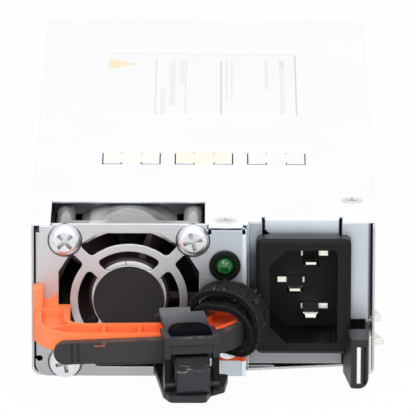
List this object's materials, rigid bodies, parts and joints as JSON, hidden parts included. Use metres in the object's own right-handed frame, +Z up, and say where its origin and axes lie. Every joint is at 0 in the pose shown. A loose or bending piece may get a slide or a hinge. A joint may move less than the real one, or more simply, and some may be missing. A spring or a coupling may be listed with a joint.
{
  "type": "hot swap server power supply",
  "caption": "Flat metal-cased plug-in power supply with a grilled fan, an AC inlet, a pull handle with cord strap, a side latch and a rear card edge.",
  "frame": {"origin": "centre of the bottom face of the case", "axes": "+X to the right seen from the fan and inlet end, +Y from that end to the card edge, +Z up"},
  "size_m": [0.0886, 0.2291, 0.0402],
  "materials": {
    "aluminium_fin": "satin",
    "black_loop": "fuzzy",
    "black_plastic": "matt",
    "board_green": "satin",
    "bright_screw": "polished",
    "capacitor_sleeve": "satin",
    "copper": "satin",
    "cream_plastic": "satin",
    "dark_rotor": "satin",
    "ferrite": "matt",
    "glass_tube": "clear",
    "gold": "polished",
    "green_lens": "gloss",
    "housing_black": "satin",
    "insulator": "matt",
    "magnet": "matt",
    "orange_plastic": "satin",
    "paper_amber": "matt",
    "paper_white": "matt",
    "plated_pin": "polished",
    "relay_case": "satin",
    "sticker_dark": "matt",
    "zinc_steel": "satin"
  },
  "bodies": {
    "case": {"base_chassis": "zinc_steel", "top_cover": "zinc_steel", "front_plate": "zinc_steel", "inlet_panel": "zinc_steel", "rear_panel": "zinc_steel", "insulation_sheet": "insulator", "top_label": "paper_white", "amber_sticker": "paper_amber", "cover_screws": "bright_screw", "grille_disc_label": "sticker_dark", "fan_screws": "bright_screw", "led_bezel": "black_plastic", "status_led": "green_lens", "fan_frame": "black_plastic", "fan_bearings": "bright_screw", "fan_stator": "copper", "pull_handle": "orange_plastic", "handle_screw": "bright_screw", "retention_strap": "black_plastic", "hook_loop_strap": "black_loop", "inlet_housing": "housing_black", "inlet_pin_line": "plated_pin", "inlet_pin_neutral": "plated_pin", "inlet_pin_earth": "plated_pin", "latch_pin": "bright_screw", "main_board": "board_green", "edge_contacts": "gold", "board_supports": "gold", "board_screws": "bright_screw", "emi_choke": "copper", "film_capacitors": "cream_plastic", "bulk_capacitors": "capacitor_sleeve", "bridge_rectifier": "ferrite", "pfc_inductor": "copper", "main_transformer": "ferrite", "primary_heatsink": "aluminium_fin", "secondary_heatsink": "aluminium_fin", "output_capacitors": "capacitor_sleeve", "relay": "relay_case", "fuse": "glass_tube", "control_board": "board_green", "latch_spring": "bright_screw", "inlet_bars": "plated_pin"},
    "fan_rotor_group": {"fan_rotor": "dark_rotor", "fan_hub_label": "paper_white", "fan_shaft": "bright_screw", "fan_magnet": "magnet"},
    "latch": {"release_lever": "black_plastic", "latch_insert": "cream_plastic", "latch_arm": "zinc_steel"},
    "clamp": {"strap_clamp": "black_plastic", "pawl_pin": "bright_screw"},
    "pawl": {"clamp_pawl": "black_plastic"}
  },
  "joints": [
    {"name": "fan_spin", "type": "hinge", "parent": "case", "child": "fan_rotor_group", "pos_m": [-0.0186, -0.08, 0.02], "axis": [0, 1, 0], "continuous": true},
    {"name": "latch_press", "type": "hinge", "parent": "case", "child": "latch", "pos_m": [0.0394, -0.0475, 0.007], "axis": [0, 0, -1], "range_deg": [0, 4.2], "stiffness_Nm_per_rad": 0.5, "springref_deg": -2.86},
    {"name": "clamp_slide", "type": "hinge", "parent": "case", "child": "clamp", "pos_m": [-0.0079, -0.0973, 0.015], "axis": [0, 0, -1], "range_deg": [0, 8]},
    {"name": "pawl_release", "type": "hinge", "parent": "clamp", "child": "pawl", "pos_m": [-0.00264, -0.12383, 0.0085], "axis": [0.9903, 0.1392, 0], "range_deg": [0, 12], "stiffness_Nm_per_rad": 0.02, "springref_deg": -5.73}
  ]
}
